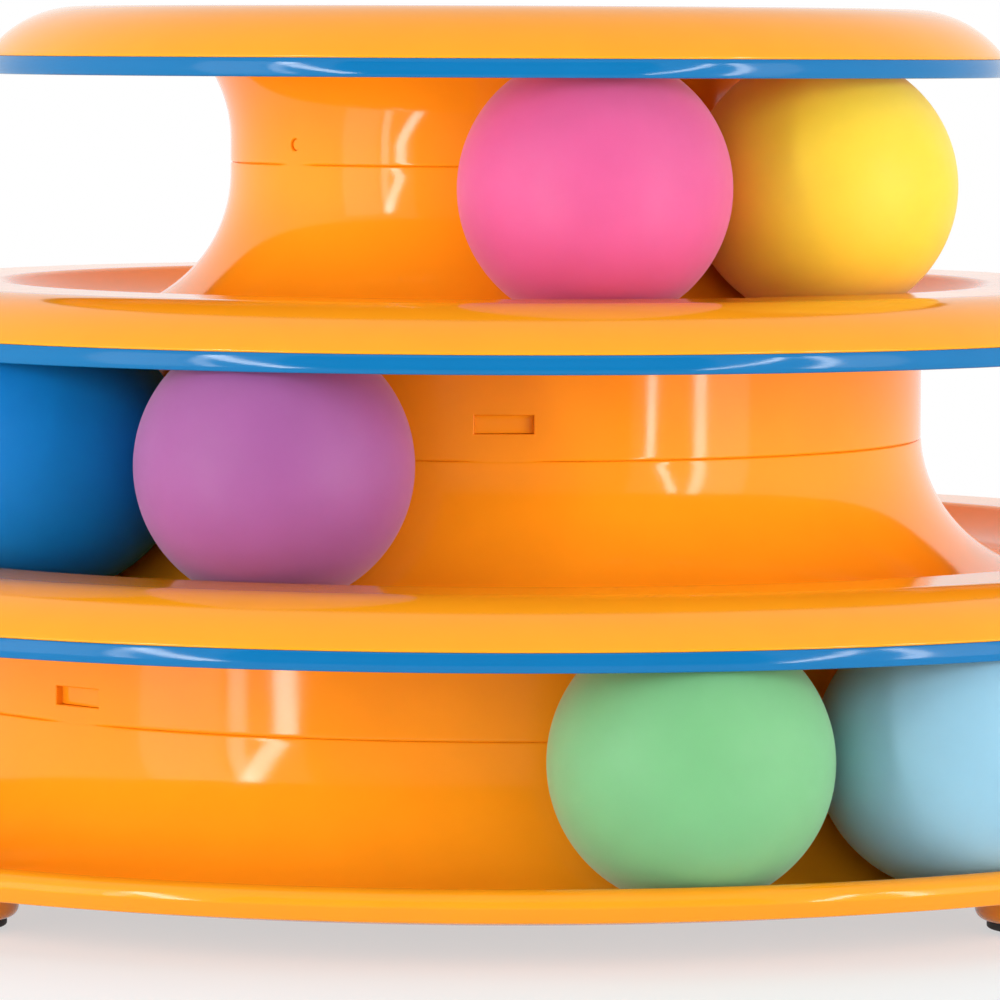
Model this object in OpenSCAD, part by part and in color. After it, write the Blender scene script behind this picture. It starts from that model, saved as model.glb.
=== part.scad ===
// Three-storey ball track toy for cats.
// A base tray and two decks each hold a round trough with two balls in it, and a cap closes the top.
// The origin is on the floor, on the tower's axis. +Z is up and the viewer stands at -Y.

/* [Balls] */
// Diameter of each ball
ball_d = 40; // [34:1:46]
// Wall of the hollow balls
ball_wall = 1.2; // [0.8:0.1:2.5]
// How much larger the trough's radius is than the ball's
ball_play = 1.4; // [0.8:0.1:3]
// Gap that is left between two balls that meet
ball_gap = 0.4; // [0.3:0.1:2]
// Running gap between a ball and the trough's floor
roll_gap = 0.3; // [0.2:0.05:0.6]

/* [Tower] */
// Outer radius of the top track's neck
neck_r = 40.8; // [34:0.2:60]
// How much wider each storey's neck is than the one above it
tier_step = 25; // [23:0.5:32]
// Gap between a ball's top and the underside of the deck above it
head_room = 1.8; // [1:0.1:5]
// Gap between a top ball and the underside of the cap
cap_head_room = 4.6; // [3:0.1:10]
// Wall of the moulded shells
wall = 1.8; // [1.4:0.1:2]
// Height of the lowest trough's floor above the ground
floor_h = 6.6; // [5.8:0.1:12]

/* [Lips] */
// Height of each lip above its trough's floor
lip_h = 4.9; // [3.5:0.1:8]
// Radius of the soft edge between a trough and its lip
edge_r = 3; // [2.4:0.1:4]
// Radius of the rounded shoulder of the decks and the cap
shoulder_r = 17.8; // [14:0.2:24]
// Drop of a deck's shoulder from its lip to its trim ring
deck_drop = 6.75; // [5:0.05:8]
// Drop of the cap's shoulder from its flat top to its trim ring
cap_drop = 7.6; // [5:0.1:10]
// Radius of the bead round the base tray
bead_r = 2.3; // [2.2:0.1:3]
// Height of the base tray's skirt below its bead
skirt_h = 2.3; // [1:0.1:3]

/* [Trim rings] */
// Height of the coloured band
ring_h = 2.75; // [2:0.05:4]
// Thickness of the coloured band
ring_t = 1.6; // [1.5:0.1:3]
// Gap between a ring and the balls below it, measured outwards
ring_gap = 0.45; // [0.4:0.05:2]
// Rounding of the ring's two outer edges
ring_edge_r = 0.5; // [0.2:0.1:0.9]
// Width of the step that the lip keeps outside the ring's tongue
lap_w = 1; // [0.8:0.05:1.1]
// Height of the ring's tongue behind the lip
lap_h = 0.8; // [0.5:0.1:1.2]

/* [Snap joints] */
// Seam height above the trough floor, top track
seam_top = 23; // [21:0.5:28]
// Seam height above the trough floor, middle track
seam_mid = 20; // [18:0.5:24]
// Seam height above the trough floor, bottom track
seam_low = 21; // [18:0.5:24]
// Height of the spigot that enters the collar above
spigot_h = 9; // [8:0.5:10]
// Wall of the spigot
spigot_t = 1.5; // [1:0.1:2]
// Sliding clearance between parts that fit together
fit_gap = 0.15; // [0.1:0.05:0.3]
// Number of snap windows round a collar
window_count = 4; // [2:1:8]
// Width of a snap window
window_w = 8.6; // [5:0.2:14]
// Height of a snap window
window_h = 2.7; // [1.8:0.1:3.5]
// Height of the middle windows above their seam
window_up_mid = 4; // [1.5:0.1:4.5]
// Height of the bottom windows above their seam
window_up_low = 2.5; // [1.5:0.1:4.5]
// Diameter of the round catch holes in the cap's collar
catch_d = 1.8; // [1.2:0.1:3]
// Height of the round catch holes above their seam
catch_up = 3; // [2:0.1:6]

/* [Feet] */
// Diameter of a foot
foot_d = 22; // [20:0.5:26]
// Rounding of the foot's lower edge
foot_edge_r = 1.6; // [0.5:0.1:1.8]
// Diameter of the rubber pad
pad_d = 18.6; // [14:0.2:18.8]
// Height of the pad that shows below the foot
pad_h = 1.2; // [0.8:0.1:1.6]
// Depth of the recess that the pad's stem fills
stem_h = 1.5; // [0.8:0.1:1.8]
// Diameter of the pad's stem
stem_d = 12; // [8:0.5:13]

/* [Cap] */
// How far the flare's curve swings outwards, from the collar to its centre
flare_r = 20; // [16:0.5:24]
// Height of the flare, from the collar to the cap's underside
flare_h = 18.4; // [12:0.2:18.4]
// How far the flare turns from upright towards level, in degrees
flare_angle = 66.93; // [55:0.01:75]
// Height of the rib that centres the cap on its collar
rib_h = 2; // [1:0.1:3]

/* [Where the balls lie, degrees round from the front towards the right] */
// Place of the pink ball on the top track
pink_at = 12.9; // [-180:0.1:180]
// Place of the purple ball on the middle track
purple_at = -21.5; // [-180:0.1:180]
// Place of the green ball on the bottom track
green_at = 13.6; // [-180:0.1:180]
// Turn of the light blue ball beyond where it meets the green one
light_blue_beyond = 0.6; // [0:0.1:300]

/* [Hidden] */
$fn = 160;

// Storeys are numbered from the top: the cap's track, the middle one and the base tray's
STOREYS = [0, 1, 2];
TOP = STOREYS[0];
MID = STOREYS[1];
LOW = STOREYS[2];

// Largest turn between two points of a rounded outline, in degrees
arc_turn = 5;
// Overrun of every cut past the face that it opens
overrun = 1;
// Direction of the first snap window on the middle and the bottom collar, and of the first catch hole
window_at_mid = 0.7;
window_at_low = -42;
catch_at = -48;
// How far a snap hook stays inside the collar's outer face
hook_sink = 0.5;
// Gap round a snap hook in its window
hook_gap = 0.25;
// How far a hook or a catch is rooted in its spigot
hook_root = 0.6;

ball_r = ball_d / 2;
trough_r = ball_r + ball_play;
tier_rise = roll_gap + ball_d + head_room + wall - lip_h;
seams = [seam_top, seam_mid, seam_low];

// Radius of a storey's neck, and of the circle that its balls roll along
function neck(tier) = neck_r + tier * tier_step;
function track(tier) = neck(tier) + trough_r;
// Height of a storey's trough floor, its trough centre, its lip, its seam and its ball centres
function floor_z(tier) = floor_h + (LOW - tier) * tier_rise;
function trough_z(tier) = floor_z(tier) + trough_r;
function lip_z(tier) = floor_z(tier) + lip_h;
function seam_z(tier) = floor_z(tier) + seams[tier];
function ball_z(tier) = floor_z(tier) + roll_gap + ball_r;

// The rim over a track clears the balls on it, where the ring's lower edge comes nearest to them
ring_over_ball = ball_r + head_room + wall - deck_drop - ring_h;
rim_out = sqrt(pow(ball_r, 2) - pow(ring_over_ball, 2)) + ring_gap + ring_t;
function rim(tier) = track(tier) + rim_out;

cap_top_z = floor_z(TOP) + roll_gap + ball_d + cap_head_room + wall;
cap_under_z = cap_top_z - wall;

spigot_out = wall + fit_gap;
spigot_in = spigot_out + spigot_t;

// Angle between two balls of a track that just leave the gap between them
function meet(tier) = 2 * asin((ball_d + ball_gap) / 2 / track(tier));

foot_track = track(LOW);
foot_places = [225, 315, 135, 45];

// Points of an arc round a centre, from one angle to another, and of one with an upright reach of its own
function arc(centre, radius, from, to) = oval_arc(centre, radius, radius, from, to);
function oval_arc(centre, across, upright, from, to) =
    let (steps = max(2, ceil(abs(to - from) / arc_turn)))
    [for (i = [0:steps])
        let (a = from + (to - from) * i / steps)
        centre + [across * cos(a), upright * sin(a)]];

// Trough centre, and the centre of the soft edge that touches the trough from outside
function trough_c(tier) = [track(tier), trough_z(tier)];
function edge_c(tier, radius) =
    let (fall = trough_z(tier) - lip_z(tier) + radius)
    [track(tier) + sqrt(pow(trough_r + radius, 2) - pow(fall, 2)), lip_z(tier) - radius];
function edge_angle(tier, radius) =
    let (way = edge_c(tier, radius) - trough_c(tier))
    atan2(way[1], way[0]);

// The trough starts at the seam where the seam is lower than the trough's centre
function trough_start(tier) = 180 + asin(max(0, trough_r - seams[tier]) / trough_r);

// Where the trough's underside ends, at the root of the spigot
function root_up(tier) = seams[tier] - 2 * spigot_t;
function under_end(tier) = 180 + asin(max(0, trough_r - root_up(tier)) / (trough_r + wall));

// Neck side of a shell's outline: the root, the spigot and the seam's shoulder
function neck_top(tier) = concat(
    root_up(tier) > trough_r ? [[neck(tier) - wall, floor_z(tier) + root_up(tier)]] : [],
    [
        [neck(tier) - spigot_in, seam_z(tier) - spigot_t],
        [neck(tier) - spigot_in, seam_z(tier) + spigot_h],
        [neck(tier) - spigot_out, seam_z(tier) + spigot_h],
        [neck(tier) - spigot_out, seam_z(tier)],
        [max(neck(tier), track(tier) + trough_r * cos(trough_start(tier))), seam_z(tier)]
    ]
);

// The shoulder's turn for a drop, the radius where its flat top ends, and the centre of its arc
function shoulder_turn(drop) = acos(1 - drop / shoulder_r);
function flat_end(rim_r, drop) = rim_r - shoulder_r * sin(shoulder_turn(drop));
function shoulder_c(rim_r, top_z, drop) = [flat_end(rim_r, drop), top_z - shoulder_r];

// Shoulder from its flat top down to the rim, the step for the ring's tongue, and back underneath
function shoulder(rim_r, top_z, drop) =
    let (c = shoulder_c(rim_r, top_z, drop),
         rim_z = top_z - drop,
         step_z = rim_z + lap_h,
         inner_turn = asin((step_z - c[1]) / (shoulder_r - wall)))
    concat(
        arc(c, shoulder_r, 90, 90 - shoulder_turn(drop)),
        [[rim_r - lap_w, rim_z], [rim_r - lap_w, step_z]],
        arc(c, shoulder_r - wall, inner_turn, 90)
    );

module ring_body(points) {
    rotate_extrude() polygon(points);
}

// A collar that hangs from a trough and stands on the neck of the storey below
module collar_tube(tier) {
    below = tier + 1;
    reach = neck(below) - track(tier);
    top_z = trough_z(tier) - sqrt(pow(trough_r + wall / 2, 2) - pow(reach, 2));
    translate([0, 0, seam_z(below)])
        difference() {
            cylinder(h = top_z - seam_z(below), r = neck(below));
            translate([0, 0, -overrun])
                cylinder(h = top_z - seam_z(below) + 2 * overrun, r = neck(below) - wall);
        }
}

// Snap windows through a collar
module windows(tier, up, at) {
    for (i = [0:window_count - 1])
        rotate([0, 0, at - 90 + i * 360 / window_count])
            translate([neck(tier) - wall - overrun, -window_w / 2, seam_z(tier) + up])
                cube([wall + 2 * overrun, window_w, window_h]);
}

// Hooks on a spigot, one in each window
module hooks(tier, up, at) {
    hook_w = window_w - 2 * hook_gap;
    intersection() {
        translate([0, 0, seam_z(tier)])
            difference() {
                cylinder(h = spigot_h, r = neck(tier) - hook_sink);
                translate([0, 0, -overrun])
                    cylinder(h = spigot_h + 2 * overrun, r = neck(tier) - spigot_out - hook_root);
            }
        for (i = [0:window_count - 1])
            rotate([0, 0, at - 90 + i * 360 / window_count])
                translate([neck(tier) - spigot_in, -hook_w / 2, seam_z(tier) + up + hook_gap])
                    cube([spigot_in, hook_w, window_h - 2 * hook_gap]);
    }
}

// Round catches on the top spigot, or the holes for them in the cap's collar
module catches(radius, from, to) {
    for (i = [0:window_count - 1])
        rotate([0, 0, catch_at - 90 + i * 360 / window_count])
            translate([from, 0, seam_z(TOP) + catch_up])
                rotate([0, 90, 0])
                    cylinder(h = to - from, r = radius, $fn = 32);
}

// One deck: neck, trough, lip and shoulder in one skin, with the collar below it
module deck_shell(tier) {
    edge = edge_angle(tier, edge_r);
    ring_body(concat(
        arc(trough_c(tier), trough_r, trough_start(tier), 360 + edge),
        arc(edge_c(tier, edge_r), edge_r, 180 + edge, 90),
        shoulder(rim(tier + 1), lip_z(tier), deck_drop),
        arc(edge_c(tier, edge_r), edge_r - wall, 90, 180 + edge),
        arc(trough_c(tier), trough_r + wall, 360 + edge, under_end(tier)),
        neck_top(tier)
    ));
    collar_tube(tier);
}

module upper_deck() {
    color("orange") {
        difference() {
            deck_shell(TOP);
            windows(MID, window_up_mid, window_at_mid);
        }
        catches(catch_d / 2 - fit_gap, neck(TOP) - spigot_out - hook_root, neck(TOP) - hook_sink);
    }
}

module lower_deck() {
    color("orange") {
        difference() {
            deck_shell(MID);
            windows(LOW, window_up_low, window_at_low);
        }
        hooks(MID, window_up_mid, window_at_mid);
    }
}

// A foot: a round boss under the trough with a recess for the pad
module foot() {
    difference() {
        union() {
            translate([0, 0, pad_h + foot_edge_r])
                cylinder(h = trough_r - foot_edge_r, r = foot_d / 2, $fn = 64);
            translate([0, 0, pad_h])
                rotate_extrude($fn = 64)
                    polygon(concat(
                        [[0, foot_edge_r], [0, 0]],
                        arc([foot_d / 2 - foot_edge_r, foot_edge_r], foot_edge_r, 270, 360)
                    ));
        }
        translate([0, 0, pad_h - overrun])
            cylinder(h = stem_h + overrun, r = stem_d / 2, $fn = 64);
    }
}

module base_tray() {
    bead = edge_angle(LOW, bead_r);
    bead_c = edge_c(LOW, bead_r);
    skirt_z = bead_c[1] - skirt_h;
    color("orange") {
        ring_body(concat(
            arc(trough_c(LOW), trough_r, trough_start(LOW), 360 + bead),
            arc(bead_c, bead_r, 180 + bead, 0),
            [[bead_c[0] + bead_r, skirt_z], [bead_c[0] + bead_r - wall, skirt_z]],
            arc(bead_c, bead_r - wall, 0, 180 + bead),
            arc(trough_c(LOW), trough_r + wall, 360 + bead, under_end(LOW)),
            neck_top(LOW)
        ));
        hooks(LOW, window_up_low, window_at_low);
        difference() {
            for (a = foot_places)
                rotate([0, 0, a]) translate([foot_track, 0, 0]) foot();
            translate([0, 0, trough_z(LOW)])
                rotate_extrude() translate([track(LOW), 0]) circle(r = trough_r + wall / 2);
        }
    }
}

// A rubber pad: a round tread with a stem in the foot's recess
module foot_pad(place) {
    color("dimgray")
        rotate([0, 0, place]) translate([foot_track, 0, 0]) {
            cylinder(h = pad_h, r = pad_d / 2, $fn = 64);
            cylinder(h = pad_h + stem_h - fit_gap, r = stem_d / 2 - fit_gap, $fn = 64);
        }
}

// A coloured ring under a rim, with a tongue behind the lip
module trim_ring(rim_r, rim_z) {
    low_z = rim_z - ring_h;
    color("dodgerblue")
        ring_body(concat(
            [[rim_r - ring_t, low_z]],
            arc([rim_r - ring_edge_r, low_z + ring_edge_r], ring_edge_r, 270, 360),
            [
                [rim_r, rim_z],
                [rim_r - lap_w - fit_gap, rim_z],
                [rim_r - lap_w - fit_gap, rim_z + lap_h - fit_gap],
                [rim_r - ring_t, rim_z + lap_h - fit_gap]
            ]
        ));
}

module upper_trim_ring() {
    trim_ring(rim(MID), lip_z(TOP) - deck_drop);
}

module lower_trim_ring() {
    trim_ring(rim(LOW), lip_z(MID) - deck_drop);
}

module cap_trim_ring() {
    trim_ring(rim(TOP), cap_top_z - cap_drop);
}

// The flare's upright reach, and the turn of its hidden side at a height below the cap's underside
flare_reach = flare_h / sin(flare_angle);
function flare_turn(down) = asin((flare_h - down) / (flare_reach + wall));
function flare_in(down) = neck(TOP) + flare_r - (flare_r + wall) * cos(flare_turn(down));

// The cap's collar: a tube that flares out to the cap like a trumpet
module cap_collar() {
    c = [neck(TOP) + flare_r, cap_under_z - flare_h];
    color("orange")
        difference() {
            ring_body(concat(
                [[neck(TOP) - wall, seam_z(TOP)], [neck(TOP), seam_z(TOP)]],
                oval_arc(c, flare_r, flare_reach, 180, 180 - flare_angle),
                oval_arc(c, flare_r + wall, flare_reach + wall, 180 - flare_turn(0), 180)
            ));
            catches(catch_d / 2, neck(TOP) - wall - overrun, neck(TOP) + overrun);
        }
}

// The cap's top: a closed disc with a rounded shoulder and a centring rib below
module cap_top() {
    rib_out = flare_in(rib_h) - fit_gap;
    color("orange")
        ring_body(concat(
            [[0, cap_top_z]],
            shoulder(rim(TOP), cap_top_z, cap_drop),
            [
                [rib_out, cap_under_z],
                [rib_out, cap_under_z - rib_h],
                [rib_out - wall, cap_under_z - rib_h],
                [rib_out - wall, cap_under_z],
                [0, cap_under_z]
            ]
        ));
}

// A hollow ball at its place on a track
module ball(tier, at) {
    rotate([0, 0, at - 90]) translate([track(tier), 0, ball_z(tier)])
        difference() {
            sphere(r = ball_r, $fn = 96);
            sphere(r = ball_r - ball_wall, $fn = 96);
        }
}

module pink_ball() {
    color("hotpink") ball(TOP, pink_at);
}

module yellow_ball() {
    color("gold") ball(TOP, pink_at + meet(TOP));
}

module purple_ball() {
    color("mediumorchid") ball(MID, purple_at);
}

module dark_blue_ball() {
    color("royalblue") ball(MID, purple_at - meet(MID));
}

module green_ball() {
    color("lightgreen") ball(LOW, green_at);
}

module light_blue_ball() {
    color("skyblue") ball(LOW, green_at + meet(LOW) + light_blue_beyond);
}

base_tray();
foot_pad(foot_places[0]);  // foot_pad_front_left
foot_pad(foot_places[1]);  // foot_pad_front_right
foot_pad(foot_places[2]);  // foot_pad_rear_left
foot_pad(foot_places[3]);  // foot_pad_rear_right
lower_deck();
lower_trim_ring();
upper_deck();
upper_trim_ring();
cap_collar();
cap_top();
cap_trim_ring();
pink_ball();
yellow_ball();
purple_ball();
dark_blue_ball();
green_ball();
light_blue_ball();
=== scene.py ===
# %% [markdown]
# A ball track toy for cats, dressed for the camera.
# The real toy is a tower of glossy orange troughs. Each storey wears a blue trim ring, and two matt hollow
# balls roll in each trough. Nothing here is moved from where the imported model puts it: the frame is loaded
# first, and every finished piece is built round it and rides on one of its bodies.

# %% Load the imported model
import math

import bmesh
import bpy
from mathutils import Matrix, Vector


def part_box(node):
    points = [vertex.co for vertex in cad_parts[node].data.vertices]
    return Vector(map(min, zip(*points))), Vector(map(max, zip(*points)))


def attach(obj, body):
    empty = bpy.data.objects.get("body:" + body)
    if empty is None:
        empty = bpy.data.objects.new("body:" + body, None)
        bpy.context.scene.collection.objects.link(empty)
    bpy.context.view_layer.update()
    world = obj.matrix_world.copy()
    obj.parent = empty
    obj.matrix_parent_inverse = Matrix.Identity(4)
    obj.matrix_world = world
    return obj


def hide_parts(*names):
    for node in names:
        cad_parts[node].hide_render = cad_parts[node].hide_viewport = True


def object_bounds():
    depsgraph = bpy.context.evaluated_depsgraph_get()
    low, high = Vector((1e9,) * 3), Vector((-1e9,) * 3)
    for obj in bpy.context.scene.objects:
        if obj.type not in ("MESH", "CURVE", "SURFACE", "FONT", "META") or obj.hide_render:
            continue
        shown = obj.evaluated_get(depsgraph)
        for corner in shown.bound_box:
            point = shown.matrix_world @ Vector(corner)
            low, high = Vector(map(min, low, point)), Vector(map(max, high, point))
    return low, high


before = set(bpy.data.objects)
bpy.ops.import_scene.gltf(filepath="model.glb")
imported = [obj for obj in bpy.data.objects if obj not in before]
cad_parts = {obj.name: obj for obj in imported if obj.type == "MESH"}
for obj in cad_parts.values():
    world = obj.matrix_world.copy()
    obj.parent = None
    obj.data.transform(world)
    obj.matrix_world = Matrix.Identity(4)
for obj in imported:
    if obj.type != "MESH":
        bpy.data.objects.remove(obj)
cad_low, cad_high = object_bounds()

MM = 0.001
print("frame, mm:", [round(side / MM, 1) for side in cad_high - cad_low])

# %% [markdown]
# Two things are made over and over below: objects in the scene, and nodes in a tree. These helpers make both.
# A node is one call that names its kind, its settings and what feeds it, so that a tree can be read from its
# first node to its last. The node editor would show the same tree as boxes and wires.

# %% Objects and nodes
def add_object(name, data):
    """A new object in the scene."""
    made = bpy.data.objects.new(name, data)
    bpy.context.scene.collection.objects.link(made)
    return made


def feed(tree, made, feeds):
    """Sets each named input of a node to a value, or links another node's output to it."""
    for key, value in feeds.items():
        if isinstance(value, bpy.types.NodeSocket):
            tree.links.new(value, made.inputs[key])
        else:
            made.inputs[key].default_value = value


def node(tree, kind, feeds=None, **settings):
    """A node with its settings and what feeds it."""
    made = tree.nodes.new(kind)
    for name, value in settings.items():
        setattr(made, name, value)
    feed(tree, made, feeds or {})
    return made


def maths(tree, operation, *values):
    """What a Math node makes of these values; each is a number or another node's output."""
    return node(tree, "ShaderNodeMath", dict(enumerate(values)), operation=operation).outputs[0]


# %% [markdown]
# The camera comes before any shape, because it settles what has to look right.
# A long lens from about a metre gives the flat, close view of a catalogue picture. The photograph's horizon
# lies near its upper edge, so the camera stands level with the cap and looks down a little. A shift of the
# lens would frame the same view, but a tilt keeps it whole when the camera is moved round later. The view was
# fitted to the rings, seams, necks and balls in the picture, and stands a touch left and a hair out of level.

# %% Camera
EYE = Vector((-0.0089, -0.9813, 0.1251))
LOOK_DOWN, LOOK_RIGHT, ROLL = math.radians(4.063), math.radians(0.574), math.radians(0.247)
LENS = 228.8

camera = add_object("camera", bpy.data.cameras.new("camera"))
bpy.context.scene.camera = camera
camera.location = EYE
aim = Matrix.Rotation(-LOOK_RIGHT, 3, "Z") @ Matrix.Rotation(math.pi / 2 - LOOK_DOWN, 3, "X")
camera.rotation_euler = (aim @ Matrix.Rotation(ROLL, 3, "Z")).to_euler()
camera.data.lens = LENS
camera.data.sensor_width = 36
bpy.context.scene.view_settings.view_transform = "Standard"
print("camera at", tuple(round(c, 4) for c in EYE), "with a lens of", LENS, "mm")

# %% [markdown]
# The studio is a round white table with a white room behind it, and lamps on both sides of the camera.
# In the photograph each neck carries two upright streaks on either side, which are tall strip lamps seen in
# the gloss. The lamps reach down past the table's edge, so that the streaks start high on each flare.
# The white room is what the camera and every glossy surface see. Its even light is weaker than that white,
# so that orange stays orange. The lamps' own light comes on top of it.

# %% Room
ROOM_LIGHT = 0.25


def seen_directly(tree):
    """1 for what the camera sees, also in a reflection or through glass, and 0 for what only lights."""
    path = node(tree, "ShaderNodeLightPath")
    seen = path.outputs["Is Camera Ray"]
    for other in ("Is Glossy Ray", "Is Transmission Ray"):
        seen = maths(tree, "MAXIMUM", seen, path.outputs[other])
    return seen


def build_room():
    """White for the camera and in reflections, and an even, weaker light for everything else."""
    world = bpy.data.worlds.new("studio_room")
    bpy.context.scene.world = world
    world.use_nodes = True
    tree = world.node_tree
    tree.nodes.clear()
    even, white = (node(tree, "ShaderNodeBackground", {"Strength": level, "Color": (1, 1, 1, 1)}).outputs[0]
                   for level in (ROOM_LIGHT, 1))
    mix = node(tree, "ShaderNodeMixShader", {"Fac": seen_directly(tree), 1: even, 2: white})
    node(tree, "ShaderNodeOutputWorld", {"Surface": mix.outputs[0]})
    return world


print("room:", build_room().name)

# %% [markdown]
# A studio lamp is an area lamp: a rectangle that shines evenly. Blender asks for its power, so a larger lamp
# of the same power looks dimmer. These helpers ask for brightness instead, because that is what a streak in
# the gloss shows, and they work the power out. A strip is placed by its turn from the front and by its width,
# both in degrees as the tower sees them, which are easy to read off a streak.

# %% Lamps
LAMP_FAR = 1.15


def area_lamp(name, width, height, radiance):
    """A rectangular lamp that shines as brightly as asked, whatever its size."""
    lamp = bpy.data.lights.new(name, "AREA")
    lamp.shape = "RECTANGLE"
    lamp.size, lamp.size_y = width, height
    lamp.energy = radiance * math.pi * lamp.size * lamp.size_y
    stand = add_object(name, lamp)
    stand.visible_camera = False
    return stand


def strip_lamp(name, turn, wide, radiance, low=-0.50, high=0.62, lean=0.0):
    """An upright lamp beside the camera, turned round the tower by an angle from the front, facing it."""
    stand = area_lamp(name, 2 * LAMP_FAR * math.tan(math.radians(wide) / 2), high - low, radiance)
    a = math.radians(turn)
    stand.location = (LAMP_FAR * math.sin(a), -LAMP_FAR * math.cos(a), (low + high) / 2)
    facing = Matrix.Rotation(a, 3, "Z") @ Matrix.Rotation(math.pi / 2, 3, "X")
    stand.rotation_euler = (facing @ Matrix.Rotation(-math.radians(lean), 3, "Z")).to_euler()
    return stand


def top_lamp(name, place, size, radiance):
    """A wide soft lamp above the tower, facing it."""
    stand = area_lamp(name, size, size, radiance)
    stand.location = place
    stand.rotation_euler = (-math.atan2(place[1], place[2] - cad_high.z), 0, 0)
    return stand


print("each strip lamp stands", LAMP_FAR, "m from the tower's axis")

# %% [markdown]
# Each side has a bright strip, a second strip further round and a soft panel that gives the broad haze
# beside them. The bright strips lean outwards, because the photograph's streaks turn away from the middle
# where the trough's curve picks up the upper end of the lamp.
# The fills give most of the light: the necks in the photograph are lighter at their sides than in the middle,
# so the side fills are the strong ones. A lamp above and a little behind lights the cap and the lips, and one
# behind keeps the back bright for other views. None of these is seen in the gloss, because the real shells
# don't mirror them.

# %% Lamps in their places
strip_lamp("bright_strip_left", -40.5, 4.2, 16.5, lean=-15)
strip_lamp("second_strip_left", -48, 3.4, 6.5)
strip_lamp("bright_strip_right", 41, 2.0, 19, lean=15)
strip_lamp("second_strip_right", 54, 3.2, 12.5)
for side, word in ((-1, "left"), (1, "right")):
    strip_lamp("soft_panel_" + word, side * 60, 17, 1.4)
    strip_lamp("side_fill_" + word, side * 76, 40, 2.9, low=-0.25, high=0.55).visible_glossy = False
strip_lamp("front_fill", 0, 64, 1.7, low=-0.10, high=0.50).visible_glossy = False
strip_lamp("back_fill", 180, 90, 1.5, low=-0.10, high=0.50).visible_glossy = False
top_lamp("top_panel", place=(0, 0.5, 1.2), size=1.4, radiance=1.3).visible_glossy = False

# %% [markdown]
# A glossy shell also mirrors what stands behind the camera. In the photograph that is darker than the white
# room, so that the middle of each neck is a deep orange. A grey curtain hangs there for it, curved round the
# tower. Only a glossy surface sees it: it neither lights the object nor shades it.

# %% Curtain
CURTAIN_STEPS = 24


def new_finish(name):
    """A new material, its tree and the shader that the tree starts with."""
    finish = bpy.data.materials.new(name)
    finish.use_nodes = True
    return finish, finish.node_tree, finish.node_tree.nodes["Principled BSDF"]


def grey_curtain(name, far, half_turn, low, high, shade):
    """A curved curtain behind the camera that only a glossy surface sees."""
    mesh = bpy.data.meshes.new(name)
    turns = [math.radians(half_turn * (2 * i / CURTAIN_STEPS - 1)) for i in range(CURTAIN_STEPS + 1)]
    places = [(far * math.sin(a), -far * math.cos(a), z) for z in (low, high) for a in turns]
    row = len(turns)
    mesh.from_pydata(places, [], [(i, i + 1, i + row + 1, i + row) for i in range(CURTAIN_STEPS)])
    curtain = add_object(name, mesh)
    cloth, tree, shader = new_finish(name)
    tree.nodes.remove(shader)
    flat = node(tree, "ShaderNodeEmission", {"Color": (shade, shade, shade, 1)})
    feed(tree, tree.nodes["Material Output"], {"Surface": flat.outputs[0]})
    mesh.materials.append(cloth)
    for ray in ("camera", "diffuse", "shadow", "transmission", "volume_scatter"):
        setattr(curtain, "visible_" + ray, False)


grey_curtain("grey_curtain", far=1.4, half_turn=35, low=-0.8, high=0.9, shade=0.25)
print("the curtain has", CURTAIN_STEPS, "faces")

# %% [markdown]
# The table is a plain pale disc. The camera sees only the part of it just in front of the toy, with the soft
# shadow that the lowest lip throws.

# %% Table
TABLE_RADIUS = 0.265
TABLE_DROP = 0.0005
TABLE_WHITE = 0.58
TABLE_SHADE, TABLE_ROUGH = 0.94, 0.6


def build_table():
    """A round white table top, a hair below the feet."""
    mesh = bpy.data.meshes.new("table")
    shape = bmesh.new()
    bmesh.ops.create_circle(shape, cap_ends=True, segments=128, radius=TABLE_RADIUS)
    bmesh.ops.translate(shape, verts=shape.verts, vec=(0, 0, -TABLE_DROP))
    shape.to_mesh(mesh)
    shape.free()
    table = add_object("table", mesh)
    finish, tree, shader = new_finish("table_white")
    feed(tree, shader, {"Base Color": (TABLE_SHADE, TABLE_SHADE, TABLE_SHADE, 1), "Roughness": TABLE_ROUGH})
    white = node(tree, "ShaderNodeEmission")
    seen = maths(tree, "MULTIPLY", seen_directly(tree), TABLE_WHITE)
    mix = node(tree, "ShaderNodeMixShader", {"Fac": seen, 1: shader.outputs[0], 2: white.outputs[0]})
    feed(tree, tree.nodes["Material Output"], {"Surface": mix.outputs[0]})
    mesh.materials.append(finish)


build_table()
print("table, mm across:", round(2 * TABLE_RADIUS / MM))

# %% [markdown]
# The sizes are those of the part's source, in millimetres. The storeys are alike and only grow by one step
# in radius, so a few small functions give every radius and height of the tower.

# %% Sizes of the tower
TOP, MID, LOW = 0, 1, 2
STOREY_WORD = {TOP: "top", MID: "middle", LOW: "bottom"}

ball_r, ball_wall, ball_play, roll_gap = 20.0, 1.2, 1.4, 0.3
neck_r, tier_step, head_room, cap_head_room = 40.8, 25.0, 1.8, 4.6
wall, floor_h, lip_h, edge_r, shoulder_r = 1.8, 6.6, 4.9, 3.0, 17.8
deck_drop, cap_drop, bead_r, skirt_h = 6.75, 7.6, 2.3, 2.3
ring_h, ring_t, ring_gap, lap_w, lap_h = 2.75, 1.6, 0.45, 1.0, 0.8
seams = (23.0, 20.0, 21.0)
spigot_h, spigot_t, fit_gap = 9.0, 1.5, 0.15
foot_d, foot_edge_r, pad_d, pad_h, stem_h, stem_d = 22.0, 1.6, 18.6, 1.2, 1.5, 12.0
flare_r, flare_h, flare_angle, rib_h = 20.0, 18.4, 66.93, 2.0

trough_r = ball_r + ball_play
tier_rise = roll_gap + 2 * ball_r + head_room + wall - lip_h


def neck(storey):
    return neck_r + storey * tier_step


def track(storey):
    return neck(storey) + trough_r


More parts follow.
